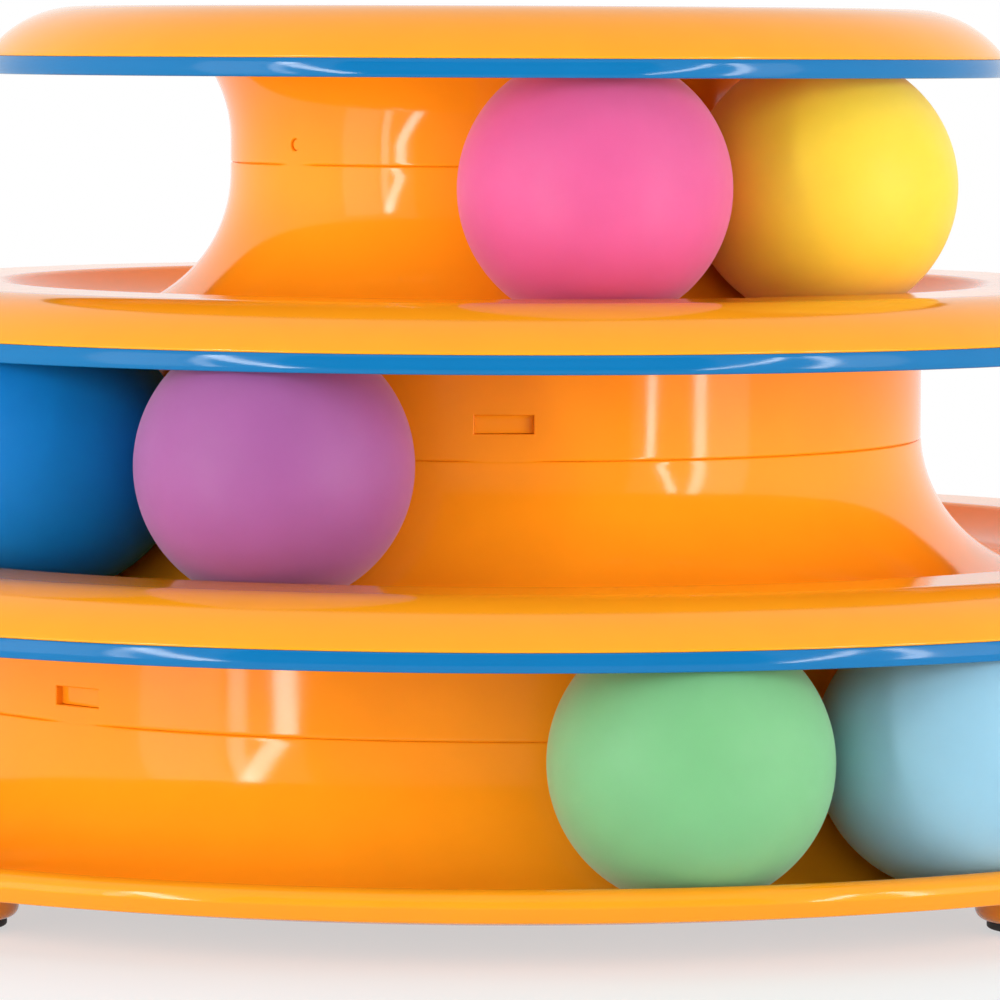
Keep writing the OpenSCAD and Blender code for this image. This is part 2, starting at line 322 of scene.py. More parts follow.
def floor_z(storey):
    return floor_h + (LOW - storey) * tier_rise


def trough_z(storey):
    return floor_z(storey) + trough_r


def lip_z(storey):
    return floor_z(storey) + lip_h


def seam_z(storey):
    return floor_z(storey) + seams[storey]


def rim(storey):
    over = ball_r + head_room + wall - deck_drop - ring_h
    return track(storey) + math.sqrt(ball_r ** 2 - over ** 2) + ring_gap + ring_t


cap_top_z = floor_z(TOP) + roll_gap + 2 * ball_r + cap_head_room + wall
cap_under_z = cap_top_z - wall
spigot_out = wall + fit_gap
spigot_in = spigot_out + spigot_t

for storey in (TOP, MID, LOW):
    print(f"{STOREY_WORD[storey]:7s} neck {neck(storey):6.1f}  track {track(storey):6.1f}"
          f"  rim {rim(storey):6.1f}  lip at {lip_z(storey):6.1f}")
print(f"cap top at {cap_top_z:.1f}; the frame's is at {cad_high.z / MM:.1f}")

# %% [markdown]
# Every shell of the tower is a body of revolution, as a lathe or a mould would give it. So each one starts as
# an outline: a list of points, each a radius and a height, round the cut edge of the wall. Its round
# stretches are arcs, with a point every few degrees.

# %% Arcs
ARC_STEP = 2.5


def oval_arc(centre, across, upright, start, end):
    """Points of an arc with a level and an upright reach of its own, from one angle to another."""
    steps = max(2, math.ceil(abs(end - start) / ARC_STEP))
    turns = [math.radians(start + (end - start) * i / steps) for i in range(steps + 1)]
    return [(centre[0] + across * math.cos(a), centre[1] + upright * math.sin(a), 0) for a in turns]


def arc(centre, radius, start, end):
    return oval_arc(centre, radius, radius, start, end)


print("points in a half circle:", len(arc((0, 0), 1, 0, 180)))

# %% [markdown]
# A moulded part has no knife edges, so a point carries a third number, the radius that rounds its corner, or
# 0. Each long straight also gets a point just inside either end. Those points stop smooth shading from
# spreading a rounding's bright line across the whole flat. A Bevel modifier would round every edge alike,
# while this way each corner has a radius of its own.

# %% Softened corners
HOLD = 0.3
LONG = 1.5
SAME = 1e-4


def rounded_corner(before, corner, after, radius, steps=4):
    """The points of the rounding that replaces a corner."""
    back, on = (before - corner), (after - corner)
    half = back.angle(on) / 2
    cut = radius / math.tan(half)
    centre = corner + (back.normalized() + on.normalized()).normalized() * (radius / math.sin(half))
    start, end = corner + back.normalized() * cut, corner + on.normalized() * cut
    sweep = math.pi - 2 * half
    shares = [i / steps for i in range(steps + 1)]
    return [centre + ((start - centre) * math.sin((1 - share) * sweep)
                      + (end - centre) * math.sin(share * sweep)) / math.sin(sweep) for share in shares]


def without_doubles(outline):
    """Drops each point that lies on the one before it, and keeps the one that carries a radius."""
    kept = []
    for i, point in enumerate(outline):
        before = Vector(outline[i - 1][:2])
        if (Vector(point[:2]) - before).length > SAME:
            kept.append(point)
        elif point[2] and kept:
            kept[-1] = point
    return kept


def soften(outline, closed=True):
    """The outline as plain pairs: corners that carry a radius are rounded, and long straights are held."""
    outline = without_doubles(outline)
    pairs = [Vector(p[:2]) for p in outline]
    points = []
    for i, (x, z, radius) in enumerate(outline):
        if radius:
            points += rounded_corner(pairs[i - 1], pairs[i], pairs[(i + 1) % len(pairs)], radius)
        else:
            points.append(Vector((x, z)))
    held = []
    for i, point in enumerate(points):
        held.append(point)
        way = points[(i + 1) % len(points)] - point
        if way.length > LONG and (closed or i < len(points) - 1):
            held += [point + way.normalized() * HOLD, point + way - way.normalized() * HOLD]
    return [tuple(p) for p in held]


square = [(0, 0, 0), (9, 0, 0), (9, 9, 1), (0, 9, 0)]
print("a square with one soft corner has", len(soften(square)), "points")

# %% [markdown]
# Shapes that follow a rule come from three Geometry Nodes trees. Each has named inputs for its sizes. Each
# ends in the same three nodes, which shade it smooth, make its copies real faces and give it its finish.

# %% Starting and ending a tree
def new_tree(name, *inputs):
    """A tree that gives out geometry and its entry; an input is a name, a kind and maybe a default."""
    tree = bpy.data.node_groups.new(name, "GeometryNodeTree")
    tree.interface.new_socket(name="Geometry", in_out="OUTPUT", socket_type="NodeSocketGeometry")
    for label, kind, *default in inputs + (("Finish", "Material"),):
        socket = tree.interface.new_socket(name=label, in_out="INPUT", socket_type="NodeSocket" + kind)
        if default:
            socket.default_value = default[0]
    return tree, node(tree, "NodeGroupInput").outputs


def close_tree(tree, geometry, finish):
    """Ends a tree as every tree here ends: smooth shading, real faces and one material."""
    for kind, more in ("SetShadeSmooth", {}), ("RealizeInstances", {}), ("SetMaterial", {"Material": finish}):
        geometry = node(tree, "GeometryNode" + kind, {"Geometry": geometry} | more).outputs[0]
    node(tree, "NodeGroupOutput", {"Geometry": geometry})


print("node groups before the first tree:", len(bpy.data.node_groups))

# %% [markdown]
# The lathe tree turns an outline into a shell. It lays a flat grid with one row for each point of the outline
# and one column for each step round the axis, and bends it: each grid point looks up its row's radius and
# height in the outline and turns them by its column's angle. Merging the points that meet closes the last
# seam and the poles. The Spin tool would do as well, but this tree keeps the outline and the number of
# columns as inputs, so a shell can be made finer without being drawn again.

# %% The lathe tree
COLUMNS = 288
MERGE = 0.002


def build_lathe():
    """Bends a grid round Z, one row for each point of the outline that comes in."""
    tree, entry = new_tree("lathe", ("Outline", "Geometry"), ("Columns", "Int", COLUMNS),
                           ("Start", "Float", 0.0), ("Merge distance", "Float", MERGE * MM))
    outline = entry["Outline"]
    rows = node(tree, "GeometryNodeAttributeDomainSize", {"Geometry": outline}).outputs["Point Count"]
    vertices = {"Vertices X": maths(tree, "ADD", entry["Columns"], 1), "Vertices Y": rows}
    grid = node(tree, "GeometryNodeMeshGrid", {"Size X": 1, "Size Y": 1} | vertices)

    place = node(tree, "GeometryNodeInputPosition").outputs[0]
    split = node(tree, "ShaderNodeSeparateXYZ", {0: place}).outputs
    turn = maths(tree, "MULTIPLY", maths(tree, "ADD", split["X"], 0.5), 2 * math.pi)
    turn = maths(tree, "ADD", turn, entry["Start"])
    last = maths(tree, "SUBTRACT", rows, 1)
    row = maths(tree, "ROUND", maths(tree, "MULTIPLY", maths(tree, "ADD", split["Y"], 0.5), last))
    look = node(tree, "GeometryNodeSampleIndex", {"Geometry": outline, "Value": place, "Index": row},
                data_type="FLOAT_VECTOR", domain="POINT")
    point = node(tree, "ShaderNodeSeparateXYZ", {0: look.outputs["Value"]}).outputs
    around = {axis: maths(tree, "MULTIPLY", point["X"], maths(tree, wave, turn))
              for axis, wave in (("X", "COSINE"), ("Y", "SINE"))}
    bent = node(tree, "ShaderNodeCombineXYZ", around | {"Z": point["Z"]})

    move = node(tree, "GeometryNodeSetPosition", {"Geometry": grid.outputs[0], "Position": bent.outputs[0]})
    merge = node(tree, "GeometryNodeMergeByDistance",
                 {"Geometry": move.outputs[0], "Distance": entry["Merge distance"]})
    close_tree(tree, merge.outputs[0], entry["Finish"])
    return tree


LATHE = build_lathe()
print("lathe tree:", len(LATHE.nodes), "nodes")

# %% [markdown]
# The second tree repeats a small piece round the axis: feet, hooks and catches all stand in rings of four.
# The number of copies and the place of the first one are its inputs.

# %% The ring tree
def build_ring():
    """Copies the piece that comes in round Z, evenly, the first one turned by the start angle."""
    tree, entry = new_tree("ring", ("Piece", "Geometry"), ("Copies", "Int", 4), ("Start", "Float", 0.0))
    points = node(tree, "GeometryNodePoints", {"Count": entry["Copies"]})
    index = node(tree, "GeometryNodeInputIndex").outputs[0]
    part = maths(tree, "DIVIDE", maths(tree, "MULTIPLY", index, 2 * math.pi), entry["Copies"])
    turn = node(tree, "ShaderNodeCombineXYZ", {"Z": maths(tree, "ADD", part, entry["Start"])})
    copies = node(tree, "GeometryNodeInstanceOnPoints",
                  {"Points": points.outputs[0], "Instance": entry["Piece"], "Rotation": turn.outputs[0]})
    close_tree(tree, copies.outputs[0], entry["Finish"])
    return tree


RING = build_ring()
print("ring tree:", len(RING.nodes), "nodes")

# %% [markdown]
# These helpers put the trees to work. The first feeds a mesh to a tree and keeps what comes out as a plain
# mesh, because an export drops what only a modifier holds. The last goes from an outline to a turned shell.

# %% From tree to plain mesh
def run_tree(tree, mesh, name, **values):
    """What the tree makes of a mesh, as a plain object at the origin with its finish in the only slot."""
    source = add_object(name + "_source", mesh)
    modifier = source.modifiers.new("tree", "NODES")
    modifier.node_group = tree
    ids = {item.name: item.identifier for item in tree.interface.items_tree if item.in_out == "INPUT"}
    for key, value in values.items():
        modifier[ids[key]] = value
    made = source.evaluated_get(bpy.context.evaluated_depsgraph_get())
    result = bpy.data.meshes.new_from_object(made)
    bpy.data.objects.remove(source)
    result.name = name
    result.materials.clear()
    result.materials.append(values["Finish"])
    result.polygons.foreach_set("material_index", [0] * len(result.polygons))
    return add_object(name, result)


def points_mesh(name, pairs):
    """A mesh of loose points, one for each radius and height."""
    mesh = bpy.data.meshes.new(name)
    mesh.from_pydata([(x * MM, 0, z * MM) for x, z in pairs], [], [])
    return mesh


def turned(name, outline, finish, closed=True, columns=COLUMNS, start=0.0):
    """A shell turned from an outline; its first column stands at the start angle, in degrees."""
    pairs = soften(outline, closed)
    if closed:
        pairs.append(pairs[0])
    mesh = points_mesh(name + "_outline", pairs)
    return run_tree(LATHE, mesh, name, Columns=columns, Start=math.radians(start), Finish=finish)


print("a shell has", COLUMNS, "columns unless it says otherwise")

# %% [markdown]
# Every mesh is tidied once it is plain: doubles are merged, faces turned outwards, and edges sharper than a
# limit are marked, so that flats stay crisp beside them. Cuts and other changes to a shell are steps that are
# handed in, so they work on merged points and the faces are turned after them.

# %% Tidying a mesh
SHARP = math.radians(38)


def settle(piece, *steps):
    """Merges doubles, takes further steps, turns faces outwards and marks the sharp edges."""
    shape = bmesh.new()
    shape.from_mesh(piece.data)
    bmesh.ops.remove_doubles(shape, verts=shape.verts, dist=MERGE * MM)
    for step in steps:
        step(shape)
    bmesh.ops.recalc_face_normals(shape, faces=shape.faces)
    for face in shape.faces:
        face.smooth = True
    for edge in shape.edges:
        edge.smooth = edge.is_manifold and edge.calc_face_angle() < SHARP
    open_edges = sum(not e.is_manifold for e in shape.edges)
    shape.to_mesh(piece.data)
    shape.free()
    low, high = piece.bound_box[0], piece.bound_box[6]
    print(f"{piece.name:20s} faces {len(piece.data.polygons):6d}  open edges {open_edges}"
          f"  z {low[2] / MM:6.2f} to {high[2] / MM:6.2f} mm")


print("edges sharper than", round(math.degrees(SHARP)), "degrees stay sharp")

# %% [markdown]
# No surface is quite even. Noise gives what differs from place to place, and a bump tilts the light without
# moving the mesh, which suits what is far too shallow to model. Sizes and depths are in millimetres on the
# object, so the pattern stays the same on a large piece and on a small one.

# %% Noise and bumps
NOISE_LOW, NOISE_HIGH = 0.3, 0.7


def noise(tree, place, size, detail):
    """Noise with features about this many millimetres across."""
    feeds = {"Scale": 1 / (size * MM), "Detail": detail, "Vector": place}
    return node(tree, "ShaderNodeTexNoise", feeds).outputs["Fac"]


def spread(tree, value, low, high):
    """Maps noise, which stays near the middle, to a span."""
    feeds = {"From Min": NOISE_LOW, "From Max": NOISE_HIGH, "To Min": low, "To Max": high, "Value": value}
    return node(tree, "ShaderNodeMapRange", feeds).outputs["Result"]


def bump(tree, height, depth, before=None):
    """A bump this many millimetres deep, on top of the one before it."""
    feeds = {"Strength": 1, "Distance": depth * MM, "Height": height}
    if before:
        feeds["Normal"] = before
    return node(tree, "ShaderNodeBump", feeds).outputs["Normal"]


print("noise is spread from", NOISE_LOW, "to", NOISE_HIGH)

# %% [markdown]
# The rolling balls leave a band of fine scuffs along the floor of each trough. The band follows a circle, so
# it is worked out from a point's distance to that circle, with no picture to paint.

# %% Scuffed floors
BAND_OUT, BAND_IN = 7.0, 2.0


def scuffed_floors(tree, place):
    """1 along the floor of each trough, where the balls roll, and 0 elsewhere."""
    def length(first, second):
        return maths(tree, "SQRT", maths(tree, "ADD", maths(tree, "POWER", first, 2),
                                         maths(tree, "POWER", second, 2)))

    split = node(tree, "ShaderNodeSeparateXYZ", {0: place}).outputs
    radius = length(split["X"], split["Y"])
    worn = 0
    for storey in STOREY_WORD:
        across = maths(tree, "SUBTRACT", radius, track(storey) * MM)
        up = maths(tree, "SUBTRACT", split["Z"], floor_z(storey) * MM)
        feeds = {"From Min": BAND_OUT * MM, "From Max": BAND_IN * MM, "Value": length(across, up)}
        band = node(tree, "ShaderNodeMapRange", feeds, interpolation_type="SMOOTHSTEP")
        worn = maths(tree, "MAXIMUM", worn, band.outputs["Result"])
    return worn


print("the scuffs are", 2 * BAND_OUT, "mm across")

# %% [markdown]
# All orange parts are one glossy plastic, the rings a blue one, and the balls a matt, slightly cloudy one.
# One recipe serves them all. A broad, faint wave in the surface makes the lamps' streaks wobble as they do on
# any moulded shell, a fine grain breaks up the gloss, and slow noise shifts colour and roughness a little.

# %% Plastics
CLOUD_SIZE, MATT_SIZE, MATT_SPREAD = 9, 6, 0.15
GLOW_DEPTH = 5.0
SHEEN_ROUGH = 0.5


def plastic(name, colour, rough, ior, wave, mottle=0.02, grain=(0.5, 0.002), glow=0.0, haze=0.0, scuffs=0.0):
    """Moulded plastic; wave and grain are each a size and a depth in millimetres."""
    finish, tree, shader = new_finish(name)
    place = node(tree, "ShaderNodeTexCoord").outputs["Object"]
    dark, light = ((*[min(1, c * (1 + side * mottle)) for c in colour], 1) for side in (-1, 1))
    share = spread(tree, noise(tree, place, CLOUD_SIZE, 3), 0, 1)
    cloud = node(tree, "ShaderNodeMix", {"A": dark, "B": light, "Factor": share}, data_type="RGBA")
    smooth, dull = rough * (1 - MATT_SPREAD), rough * (1 + MATT_SPREAD)
    matt = spread(tree, noise(tree, place, MATT_SIZE, 4), smooth, dull)
    if scuffs:
        matt = maths(tree, "ADD", matt, maths(tree, "MULTIPLY", scuffed_floors(tree, place), scuffs))
    relief = bump(tree, noise(tree, place, wave[0], 1), wave[1])
    relief = bump(tree, noise(tree, place, grain[0], 2), grain[1], relief)
    feed(tree, shader, {"Base Color": cloud.outputs["Result"], "Roughness": matt, "IOR": ior,
                        "Sheen Weight": haze, "Sheen Roughness": SHEEN_ROUGH, "Normal": relief})
    if glow:
        feed(tree, shader, {"Subsurface Weight": glow, "Subsurface Radius": (1.0, 0.8, 0.8),
                            "Subsurface Scale": GLOW_DEPTH * MM})
    finish.diffuse_color = (*colour, 1)
    return finish


ORANGE = plastic("orange_plastic", (0.97, 0.347, 0.010), rough=0.09, ior=1.35, wave=(20, 0.05), scuffs=0.06)
BLUE = plastic("blue_plastic", (0.001, 0.15, 0.38), rough=0.10, ior=1.36, wave=(9, 0.02))
RUBBER = plastic("black_rubber", (0.02, 0.02, 0.022), rough=0.7, ior=1.5, wave=(4, 0.05), mottle=0.2,
                 grain=(0.3, 0.03))
print("plastics:", ORANGE.name, BLUE.name, RUBBER.name)

# %% [markdown]
# The decks and the tray share one form, as in the source: a round trough, a soft edge up to the lip, the
# thickness of the wall, and a neck that ends in a spigot. The trough is part of a circle, so what has to be
# known first is where that circle starts, where it passes into the soft edge, and where it ends underneath.

# %% Angles of a trough
def trough_c(storey):
    return track(storey), trough_z(storey)


def edge_c(storey, radius):
    """Centre of the soft edge that touches the trough from outside."""
    fall = trough_z(storey) - lip_z(storey) + radius
    return track(storey) + math.sqrt((trough_r + radius) ** 2 - fall ** 2), lip_z(storey) - radius


def edge_angle(storey, radius):
    way = Vector(edge_c(storey, radius)) - Vector(trough_c(storey))
    return math.degrees(math.atan2(way.y, way.x))


def angle_below(height):
    """Angle past level at which a trough's wall lies this far below its centre, as a sine."""
    return 180 + math.degrees(math.asin(max(0, height)))


def trough_start(storey):
    """Where the trough's inner wall begins, at the seam of its neck."""
    return angle_below((trough_r - seams[storey]) / trough_r)


def under_end(storey):
    """Where the trough's outer wall ends, at the root of its spigot."""
    return angle_below((trough_r - seams[storey] + 2 * spigot_t) / (trough_r + wall))


print("the trough runs from", round(trough_start(MID)), "to", round(360 + edge_angle(MID, edge_r)), "degrees")

# %% [markdown]
# Two stretches of outline come back in several shells. On the neck side a spigot stands on a small ledge, on
# which the storey above is seated. On the rim side a deck and the cap bend down in a rounded shoulder, with a
# step inside for the tongue of the trim ring. The visible edges are softened a little.

# %% Neck side and shoulder
SEAM_SOFT = 0.3
EDGE_SOFT = 0.25


def neck_side(storey):
    """Root, spigot and the seam's ledge."""
    root_up = seams[storey] - 2 * spigot_t
    outer = max(neck(storey), track(storey) + trough_r * math.cos(math.radians(trough_start(storey))))
    root = [(neck(storey) - wall, floor_z(storey) + root_up, 0)] if root_up > trough_r else []
    return root + [
        (neck(storey) - spigot_in, seam_z(storey) - spigot_t, 0),
        (neck(storey) - spigot_in, seam_z(storey) + spigot_h, EDGE_SOFT),
        (neck(storey) - spigot_out, seam_z(storey) + spigot_h, EDGE_SOFT),
        (neck(storey) - spigot_out, seam_z(storey), 0),
        (outer, seam_z(storey), SEAM_SOFT),
    ]


def shoulder(rim_r, top_z, drop):
    """The rounded shoulder down to the rim, the step for the ring's tongue, and back underneath."""
    turn = math.degrees(math.acos(1 - drop / shoulder_r))
    centre = (rim_r - shoulder_r * math.sin(math.radians(turn)), top_z - shoulder_r)
    rim_z = top_z - drop
    step_z = rim_z + lap_h
    inner_turn = math.degrees(math.asin((step_z - centre[1]) / (shoulder_r - wall)))
    return (arc(centre, shoulder_r, 90, 90 - turn)[:-1]
            + [(rim_r, rim_z, EDGE_SOFT), (rim_r - lap_w, rim_z, 0), (rim_r - lap_w, step_z, 0)]
            + arc(centre, shoulder_r - wall, inner_turn, 90))


print("a spigot is", spigot_h, "mm high and its seam is softened by", SEAM_SOFT, "mm")

# %% [markdown]
# Now the outlines can be put together. A deck goes on from its lip to the shoulder, and its collar hangs from
# the underside of the trough. The tray has a beaded lip instead, with a short skirt that draws in below.

# %% Outlines of the decks and the tray
SKIRT_IN = 1.4
SKIRT_SOFT = 0.4


def deck_outline(storey):
    """A deck with its collar, all round the cut edge of its wall."""
    edge = edge_angle(storey, edge_r)
    below = neck(storey + 1)
    meet_z = seam_z(storey + 1)

    def collar_angle(radius):
        return 270 + math.degrees(math.asin((radius - track(storey)) / (trough_r + wall)))

    return (arc(trough_c(storey), trough_r, trough_start(storey), 360 + edge)
            + arc(edge_c(storey, edge_r), edge_r, 180 + edge, 90)
            + shoulder(rim(storey + 1), lip_z(storey), deck_drop)
            + arc(edge_c(storey, edge_r), edge_r - wall, 90, 180 + edge)
            + arc(trough_c(storey), trough_r + wall, 360 + edge, collar_angle(below))
            + [(below, meet_z, SEAM_SOFT), (below - wall, meet_z, EDGE_SOFT)]
            + arc(trough_c(storey), trough_r + wall, collar_angle(below - wall), under_end(storey))
            + neck_side(storey))


def tray_outline():
    """The tray, whose trough ends in a beaded lip with a short skirt that draws in below."""
    bead, centre = edge_angle(LOW, bead_r), edge_c(LOW, bead_r)
    skirt_r, skirt_z = centre[0] + bead_r - SKIRT_IN, centre[1] - skirt_h
    return (arc(trough_c(LOW), trough_r, trough_start(LOW), 360 + bead)
            + arc(centre, bead_r, 180 + bead, 0)
            + [(skirt_r, skirt_z, SKIRT_SOFT), (skirt_r - wall, skirt_z, SKIRT_SOFT)]
            + arc(centre, bead_r - wall, 0, 180 + bead)
            + arc(trough_c(LOW), trough_r + wall, 360 + bead, under_end(LOW))
            + neck_side(LOW))


print("points in the outlines:", len(soften(deck_outline(TOP))), len(soften(deck_outline(MID))),
      len(soften(tray_outline())))

# %% [markdown]
# Each deck's collar has four snap windows, which the hooks of the storey below fill. Before they can be cut,
# the collar needs points where they will be. Its outline gets a row of points at the sill and at the head of
# the windows, and one more beyond each to hold the shading.

# %% Rows for the snap windows
WINDOWS = 4
window_w, window_h = 8.6, 2.7
WINDOW_UP = {MID: 4.0, LOW: 2.5}
WINDOW_AT = {MID: 0.7, LOW: -42.0}
ROW_SPACE = 0.6
NEAR = 0.01


def with_rows(outline, radius, *heights):
    """Adds points at these heights to every upright line of the outline at this radius."""
    made = []
    for i, point in enumerate(outline):
        made.append(point)
        after = outline[(i + 1) % len(outline)]
        if abs(point[0] - radius) < NEAR and abs(after[0] - radius) < NEAR:
            between = [z for z in heights if min(point[1], after[1]) < z < max(point[1], after[1])]
            made += [(radius, z, 0) for z in sorted(between, reverse=after[1] < point[1])]
    return made


def windowed(outline, storey):
    """The outline with the rows that the windows need."""
    sill = seam_z(storey) + WINDOW_UP[storey]
    head = sill + window_h
    rows = (sill - ROW_SPACE, sill, head, head + ROW_SPACE)
    return with_rows(with_rows(outline, neck(storey), *rows), neck(storey) - wall, *rows)


print("window sills, mm:", {STOREY_WORD[s]: round(seam_z(s) + up, 1) for s, up in WINDOW_UP.items()})

# %% [markdown]
# The windows are cut in the mesh itself. A shell's columns start at the middle of its first window, so only
# the two columns at a window's sides have to move a little to meet them. The wall's faces inside each window
# go, the edges that are left are bridged through the wall, and the outer ones are eased. A Boolean would cut
# the holes too, but it leaves long thin faces, which show as ripples in the gloss.

# %% Cutting the snap windows
SLACK = 0.05
WINDOW_EASE = 0.12
FACING = 0.9


def off_nearest(place, at):
    """Turn from the middle of the nearest of the four windows or catches, the first at this angle."""
    span = 2 * math.pi / WINDOWS
    turn = math.atan2(place.y, place.x) - math.radians(at - 90)
    return (turn + span / 2) % span - span / 2


def in_window(place, storey, sill, head):
    """Whether a point of the collar lies in or on the edge of one of its windows."""
    across = abs(off_nearest(place, WINDOW_AT[storey])) * neck(storey)
    return across < window_w / 2 + SLACK and sill - SLACK < place.z / MM < head + SLACK


def cut_windows(storey):
    """A tidying step that opens the windows of the collar that stands on this storey's neck."""
    sill = seam_z(storey) + WINDOW_UP[storey]
    head = sill + window_h
    span = 2 * math.pi / WINDOWS
    half = math.asin(window_w / 2 / neck(storey))
    column = math.radians(360 / COLUMNS)

    def cut(shape):
        walls = (neck(storey), neck(storey) - wall)
        near = [v for v in shape.verts if min(abs(Vector(v.co[:2]).length / MM - w) for w in walls) < 2 * NEAR
                and sill - SLACK < v.co.z / MM < head + SLACK]
        for vert in near:
            off = off_nearest(vert.co, WINDOW_AT[storey])
            if abs(abs(off) - round(half / column) * column) < column / 4:
                vert.co = Matrix.Rotation(math.copysign(half, off) - off, 3, "Z") @ vert.co
        inside = {v for v in near if in_window(v.co, storey, sill, head)}
        gone = [f for f in shape.faces if all(v in inside for v in f.verts)]
        bmesh.ops.delete(shape, geom=gone, context="FACES_ONLY")
        bmesh.ops.delete(shape, geom=[e for e in shape.edges if not e.link_faces], context="EDGES")
        bmesh.ops.delete(shape, geom=[v for v in shape.verts if not v.link_edges], context="VERTS")
        for i in range(WINDOWS):
            turn = math.radians(WINDOW_AT[storey] - 90) + i * span
            middle = Matrix.Rotation(turn, 3, "Z") @ Vector((1, 0, 0))
            rims = [e for e in shape.edges if e.is_boundary
                    and Vector(e.verts[0].co[:2]).normalized().dot(Vector(middle[:2])) > FACING]
            sides = set(bmesh.ops.bridge_loops(shape, edges=rims)["faces"])
            outer = [e for e in shape.edges if not sides.isdisjoint(e.link_faces)
                     and all(Vector(v.co[:2]).length / MM > neck(storey) - SLACK for v in e.verts)]
            bmesh.ops.bevel(shape, geom=outer, offset=WINDOW_EASE * MM, segments=1, affect="EDGES",
                            offset_type="OFFSET")
    return cut


print("a window's outer edge is eased by", WINDOW_EASE, "mm")

# %% [markdown]
# Small pieces are made once, on the X axis, and then repeated round the tower by the ring tree.
# A snap hook is a soft-edged block that nearly fills its window. It lies a little inside the wall, one end
# deeper than the other, as the photograph shows.

# %% Snap hooks
HOOK_SINK = {MID: (0.4, 1.0), LOW: (1.2, 0.4)}
hook_gap, hook_root = 0.02, 0.6
hook_ease, hook_cuts = 0.12, 11


def repeated(name, shape, start, finish):
    """Scales a small piece from millimetres and repeats it four times round the axis."""
    bmesh.ops.scale(shape, vec=(MM, MM, MM), verts=shape.verts)
    mesh = bpy.data.meshes.new(name)
    shape.to_mesh(mesh)
    shape.free()
    return run_tree(RING, mesh, name, Copies=WINDOWS, Start=start, Finish=finish)


def hooks(storey):
    """The four hooks on a storey's spigot."""
    shape = bmesh.new()
    bmesh.ops.create_cube(shape, size=1)
    sink, right_sink = HOOK_SINK[storey]
    deep = spigot_out + hook_root - sink
    size = Vector((deep, window_w - 2 * hook_gap, window_h - 2 * hook_gap))
    middle_z = seam_z(storey) + WINDOW_UP[storey] + window_h / 2
    middle = Vector((neck(storey) - sink - deep / 2, 0, middle_z))
    for vert in shape.verts:
        vert.co = Vector(c * s for c, s in zip(vert.co, size)) + middle
    across = [e for e in shape.edges if abs(e.verts[0].co.y - e.verts[1].co.y) > window_w / 2]
    bmesh.ops.subdivide_edges(shape, edges=across, cuts=hook_cuts, use_grid_fill=True)
    for vert in shape.verts:
        slope = (right_sink - sink) * (vert.co.y / window_w + 0.5) if vert.co.x > middle.x else 0
        vert.co.x = math.sqrt(vert.co.x ** 2 - vert.co.y ** 2) - slope
    front = [e for e in shape.edges if e.calc_face_angle() > SHARP
             and min(v.co.x for v in e.verts) > middle.x]
    bmesh.ops.bevel(shape, geom=front, offset=hook_ease, segments=2, profile=0.5, affect="EDGES")
    return repeated(f"{STOREY_WORD[storey]}_snap_hooks", shape, math.radians(WINDOW_AT[storey] - 90), ORANGE)


print("a hook is", window_w - 2 * hook_gap, "mm across in a window of", window_w)

# %% [markdown]
# The top storey is held by four round catches. A catch is a pin with a rounded end that nearly fills its
# hole. It is made from rings of points along X, and the tool that cuts the holes later is made the same way.

# %% Snap catches
CATCH_AT = -48.0
catch_d, catch_sink, catch_gap, catch_up, catch_soft = 1.8, 0.35, 0.03, 3.0, 0.2


def round_bar(steps, z, segments=32):
    """A round bar along X through these places, each with its radius."""
    shape = bmesh.new()
    loops = [[shape.verts.new((x, r * math.cos(t), z + r * math.sin(t)))
              for t in (2 * math.pi * k / segments for k in range(segments))] for x, r in steps]
    for first, second in zip(loops, loops[1:]):
        for k in range(segments):
            after = (k + 1) % segments
            shape.faces.new((first[k], first[after], second[after], second[k]))
    shape.faces.new(reversed(loops[0]))
    shape.faces.new(loops[-1])
    return shape


def catches():
    """The four round catches on the top spigot."""
    radius, face = catch_d / 2 - catch_gap, neck(TOP) - catch_sink
    end = [(face - catch_soft * (1 - math.sin(a)), radius - catch_soft * (1 - math.cos(a)))
           for a in (math.radians(90 * i / 4) for i in range(5))]
    shape = round_bar([(neck(TOP) - spigot_out - hook_root, radius)] + end, seam_z(TOP) + catch_up)
    return repeated("snap_catches", shape, math.radians(CATCH_AT - 90), ORANGE)


print("a catch is", catch_d - 2 * catch_gap, "mm across in a hole of", catch_d)

# %% [markdown]
# The seam between two storeys is a fine groove, because both edges are softened. In the photograph it fades
# out under each window and each catch, where the snap pulls the edges tight. So the softened edge is pushed
# back out to the neck there, and comes in again over a few millimetres on both sides.

# %% Seams that fade
def faded_seam(storey, at, shut, fade):
    """A tidying step that shuts the seam this far to each side of every snap, in millimetres."""
    def close(shape):
        for vert in shape.verts:
            radius = Vector(vert.co[:2]).length / MM
            short = neck(storey) - radius
            if abs(vert.co.z / MM - seam_z(storey)) < SEAM_SOFT + NEAR and 0 < short < SEAM_SOFT + NEAR:
                off = abs(off_nearest(vert.co, at)) * neck(storey)
                share = min(1, max(0, (shut + fade - off) / fade))
                wide = 1 + short / radius * share * share * (3 - 2 * share)
                vert.co.x, vert.co.y = vert.co.x * wide, vert.co.y * wide
    return close


def seam_fade(storey):
    """The fade of this storey's seam, under its windows or its catches."""
    if storey == TOP:
        return faded_seam(storey, CATCH_AT, shut=1.6, fade=3.0)
    return faded_seam(storey, WINDOW_AT[storey], shut=4.0, fade=3.0)


print("seams fade at", {STOREY_WORD[TOP]: CATCH_AT} | {STOREY_WORD[s]: at for s, at in WINDOW_AT.items()})
